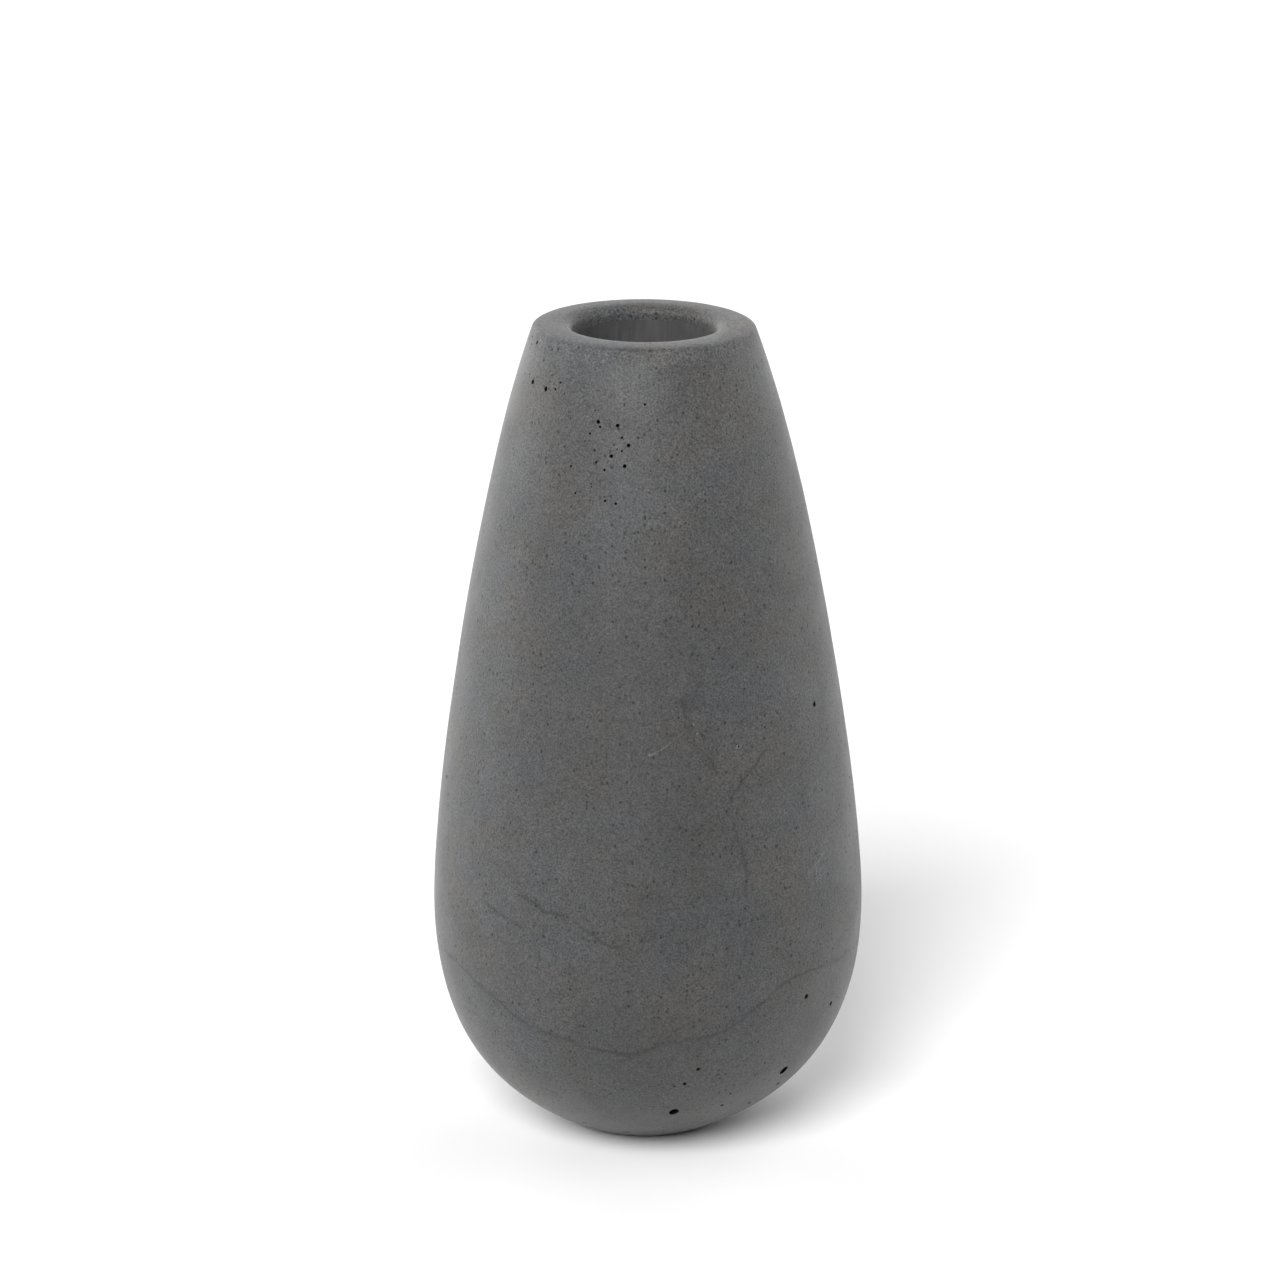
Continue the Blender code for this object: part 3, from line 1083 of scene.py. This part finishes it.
def coat_material():
    """Clear sealer soaked into concrete: satin, with upright brush marks, and painted a little darker further
    down the well as shade.
    """
    nodes = Nodes("brushed_sealer")
    shader = nodes.shader
    height = nodes.parts(nodes.coordinates)[2]
    unrolled = nodes.joined(
        nodes.product(azimuth_degrees(nodes), WALL_PER_DEGREE),
        0.0,
        nodes.product(height, STROKE_SQUASH),
    )
    strokes = nodes.noise(*STROKE_NOISE, vector=unrolled)
    lightness = nodes.product(
        nodes.swing(strokes, STROKE_SWING),
        nodes.swing(nodes.noise(*COAT_MOTTLE_NOISE), COAT_MOTTLE_SWING),
        nodes.changed(sand_specks(nodes, *COAT_SPECKS), COAT_SPECK_CHANGE),
        # painted shade: darker further down the well
        nodes.ramp(height, COAT_HIGH.z - WELL_SHADE_DEPTH, COAT_HIGH.z, WELL_SHADE_FACTOR, 1.0),
    )
    nodes.feed(shader.inputs["Base Color"], nodes.scaled(SEALED_GREY, lightness))
    nodes.feed(shader.inputs["Roughness"], nodes.ramp(strokes, *SOFT_LIMITS, *COAT_ROUGHNESS))
    nodes.feed(shader.inputs["Normal"], nodes.bump(strokes, STROKE_RELIEF, STROKE_BUMP))
    shader.inputs["IOR"].default_value = MINERAL_IOR
    return nodes.material


# ------------------------------------------------ felt pad

PAD_COLUMNS = 180
PAD_RING_PITCH = 1.0 * MM
PAD_CORNER_PITCH = 0.12 * MM
PAD_EDGE_PITCH = 0.2 * MM
PAD_EDGE_ROUND = 0.35 * MM
PAD_EDGE_FRAY = 0.22 * MM    # how deep the frayed edge is cut, and how long its tufts are
PAD_TUFT_SIZE = 0.9 * MM
PAD_DIMPLE_DEPTH = 0.10 * MM
PAD_DIMPLE_SIZE = 2.2 * MM
PAD_DIMPLE_PHASE = Vector((5, 5, 5))

FELT_GREY = (0.030, 0.030, 0.032)
# Three layers of fibres: the direction they run in, in radians, and an offset that keeps them apart, in mm.
FELT_LAYERS = [(0.3, 0.0), (1.4, 11.0), (2.5, 23.0)]
FIBRE_NOISE = (0.22 * MM, 2)
FIBRE_SQUASH = 0.14          # the noise is squashed by this along the fibres
FIBRE_CURL = 1.2
FIBRE_LIMITS, FIBRE_SHADES = (0.42, 0.72), (0.6, 1.7)
FELT_GLOSS_LIMITS, FELT_ROUGHNESS = (0.4, 0.7), (0.98, 0.88)
FELT_MOTTLE_NOISE, FELT_MOTTLE_SWING = (3 * MM, 3), 0.15
FELT_RELIEF = 0.15 * MM
FELT_FUZZ = 0.25
FELT_FUZZ_ROUGHNESS = 0.6
FELT_SPECULAR = 0.2


def pad_outline():
    """Half outline of the pad, from the middle of its top round to the middle of its underside."""
    top = PAD_HIGH.z
    low = PAD_LOW.z
    edge = PAD_HIGH.x
    flat = edge - PAD_EDGE_ROUND
    top_corner = (Vector((flat, top)), Vector((edge, top)), Vector((edge, top - PAD_EDGE_ROUND)))
    low_corner = (Vector((edge, low + PAD_EDGE_ROUND)), Vector((edge, low)), Vector((flat, low)))
    points = straight(Vector((0.0, top)), top_corner[0], PAD_RING_PITCH)
    points += rounded_corner(*top_corner, ROUND_TIGHTNESS, PAD_CORNER_PITCH)[1:]
    points += straight(top_corner[-1], low_corner[0], PAD_EDGE_PITCH)[1:]
    points += rounded_corner(*low_corner, ROUND_TIGHTNESS, PAD_CORNER_PITCH)[1:]
    points += straight(low_corner[-1], Vector((0.0, low)), PAD_RING_PITCH)[1:]
    return points


def felted(point, outwards):
    """Where a point of the pad's outline lies on its rough surface: a frayed cut edge, and dimpled flats."""
    fray = 0.5 + 0.5 * noise.noise(point / PAD_TUFT_SIZE)
    dimple = 0.5 + 0.5 * noise.noise(point / PAD_DIMPLE_SIZE + PAD_DIMPLE_PHASE)
    edge = math.hypot(point.x, point.y) > PAD_HIGH.x - PAD_EDGE_ROUND
    dip = PAD_EDGE_FRAY * fray if edge else PAD_DIMPLE_DEPTH * dimple
    return point - outwards * dip


def make_pad():
    pad = turned_mesh("felt_pad", pad_outline(), PAD_COLUMNS, felted)
    pad.data.materials.append(felt_material())
    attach(pad, "root")
    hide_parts("base_pad")


def felt_material():
    """Pressed wool felt: matted fibres in every direction, with a little fuzz that catches the light."""
    nodes = Nodes("pressed_felt")
    shader = nodes.shader
    x, y, z = nodes.parts(nodes.coordinates)
    fibres = []
    for turn, phase in FELT_LAYERS:
        along = nodes.total(nodes.product(x, math.cos(turn)), nodes.product(y, math.sin(turn)))
        across = nodes.math("SUBTRACT", nodes.product(y, math.cos(turn)), nodes.product(x, math.sin(turn)))
        vector = nodes.joined(nodes.product(along, FIBRE_SQUASH), nodes.total(across, phase * MM), z)
        fibres.append(nodes.noise(*FIBRE_NOISE, vector=vector, distortion=FIBRE_CURL))
    matted = nodes.math("MAXIMUM", nodes.math("MAXIMUM", fibres[0], fibres[1]), fibres[2])
    lightness = nodes.product(
        nodes.ramp(matted, *FIBRE_LIMITS, *FIBRE_SHADES),
        nodes.swing(nodes.noise(*FELT_MOTTLE_NOISE), FELT_MOTTLE_SWING, SOFT_LIMITS),
    )
    nodes.feed(shader.inputs["Base Color"], nodes.scaled(FELT_GREY, lightness))
    nodes.feed(shader.inputs["Roughness"], nodes.ramp(matted, *FELT_GLOSS_LIMITS, *FELT_ROUGHNESS))
    nodes.feed(shader.inputs["Normal"], nodes.bump(matted, FELT_RELIEF))
    shader.inputs["Sheen Weight"].default_value = FELT_FUZZ
    shader.inputs["Sheen Roughness"].default_value = FELT_FUZZ_ROUGHNESS
    shader.inputs["Specular IOR Level"].default_value = FELT_SPECULAR
    return nodes.material


# ------------------------------------------------ studio

CAMERA_PLACE = Vector((-0.0014, -0.95, 0.4155))
CAMERA_PITCH = math.radians(-17.54)
CAMERA_ROLL = math.radians(-0.39)
CAMERA_LENS_MM = 122.8
CAMERA_SENSOR_MM = 36.0
CAMERA_NEAREST = 0.01        # it shows nothing nearer than this

FLOOR_HALF_SIZE = 12.0
FLOOR_COLOUR = (0.83, 0.83, 0.83)
PAPER_TOOTH, TOOTH_SWING, TOOTH_LIMITS = (0.6 * MM, 2), 0.003, (0.2, 0.8)

# Soft lamps: name, azimuth and elevation of where the light comes from, its spread in degrees, its strength.
LAMPS = [
    ("key", -19, 40, 33, 3.85),
    ("left_rim", -105, 15, 30, 1.42),
    ("right_rim", 105, 15, 30, 0.60),
    ("back_left", -150, 15, 40, 1.70),
    ("back_right", 150, 15, 40, 1.05),
    ("back", 180, 20, 60, 0.65),
    ("right_fill", 90, 50, 60, 0.75),
]
BACKGROUND_STRENGTH = 0.9
BACKGROUND_COLOUR = (1.0, 1.0, 1.0, 1.0)


def make_camera():
    data = bpy.data.cameras.new("photo_view")
    data.sensor_width = CAMERA_SENSOR_MM
    data.lens = CAMERA_LENS_MM
    data.clip_start = CAMERA_NEAREST
    camera = bpy.data.objects.new("photo_view", data)
    tilt = Matrix.Rotation(math.radians(90.0) + CAMERA_PITCH, 4, "X")
    roll = Matrix.Rotation(CAMERA_ROLL, 4, "Z")
    camera.matrix_world = Matrix.Translation(CAMERA_PLACE) @ tilt @ roll
    bpy.context.scene.collection.objects.link(camera)
    bpy.context.scene.camera = camera


def floor_material():
    """Matt white paper with the faintest tooth."""
    nodes = Nodes("white_paper")
    shade = nodes.swing(nodes.noise(*PAPER_TOOTH), TOOTH_SWING, TOOTH_LIMITS)
    nodes.feed(nodes.shader.inputs["Base Color"], nodes.scaled(FLOOR_COLOUR, shade))
    nodes.shader.inputs["Roughness"].default_value = 1.0
    nodes.shader.inputs["Specular IOR Level"].default_value = 0.0
    return nodes.material


def make_floor():
    mesh = bmesh.new()
    bmesh.ops.create_grid(mesh, x_segments=1, y_segments=1, size=FLOOR_HALF_SIZE)
    data = bpy.data.meshes.new("paper_floor")
    mesh.to_mesh(data)
    mesh.free()
    floor = bpy.data.objects.new("paper_floor", data)
    bpy.context.scene.collection.objects.link(floor)
    floor.data.materials.append(floor_material())


def make_lamp(name, azimuth_deg, elevation_deg, spread_deg, strength):
    """A lamp so far away and so broad that it is one soft patch of the sky."""
    data = bpy.data.lights.new(name, "SUN")
    data.energy = strength
    data.angle = math.radians(spread_deg)
    lamp = bpy.data.objects.new(name, data)
    azimuth = math.radians(azimuth_deg)
    elevation = math.radians(elevation_deg)
    towards_lamp = around(math.cos(elevation), azimuth, math.sin(elevation))
    lamp.rotation_euler = towards_lamp.to_track_quat("Z", "Y").to_euler()
    lamp.location = towards_lamp
    bpy.context.scene.collection.objects.link(lamp)


def make_background():
    """A pale wall all round, which only shows past the floor and lights nothing."""
    world = bpy.data.worlds.new("studio")
    world.use_nodes = True
    background = world.node_tree.nodes["Background"]
    background.inputs["Color"].default_value = BACKGROUND_COLOUR
    background.inputs["Strength"].default_value = BACKGROUND_STRENGTH
    world.cycles_visibility.diffuse = False
    world.cycles_visibility.glossy = False
    bpy.context.scene.world = world


def make_studio():
    make_camera()
    make_floor()
    make_background()
    for lamp in LAMPS:
        make_lamp(*lamp)
    bpy.context.scene.view_settings.view_transform = "Standard"


make_studio()
make_body()
make_coat()
make_pad()
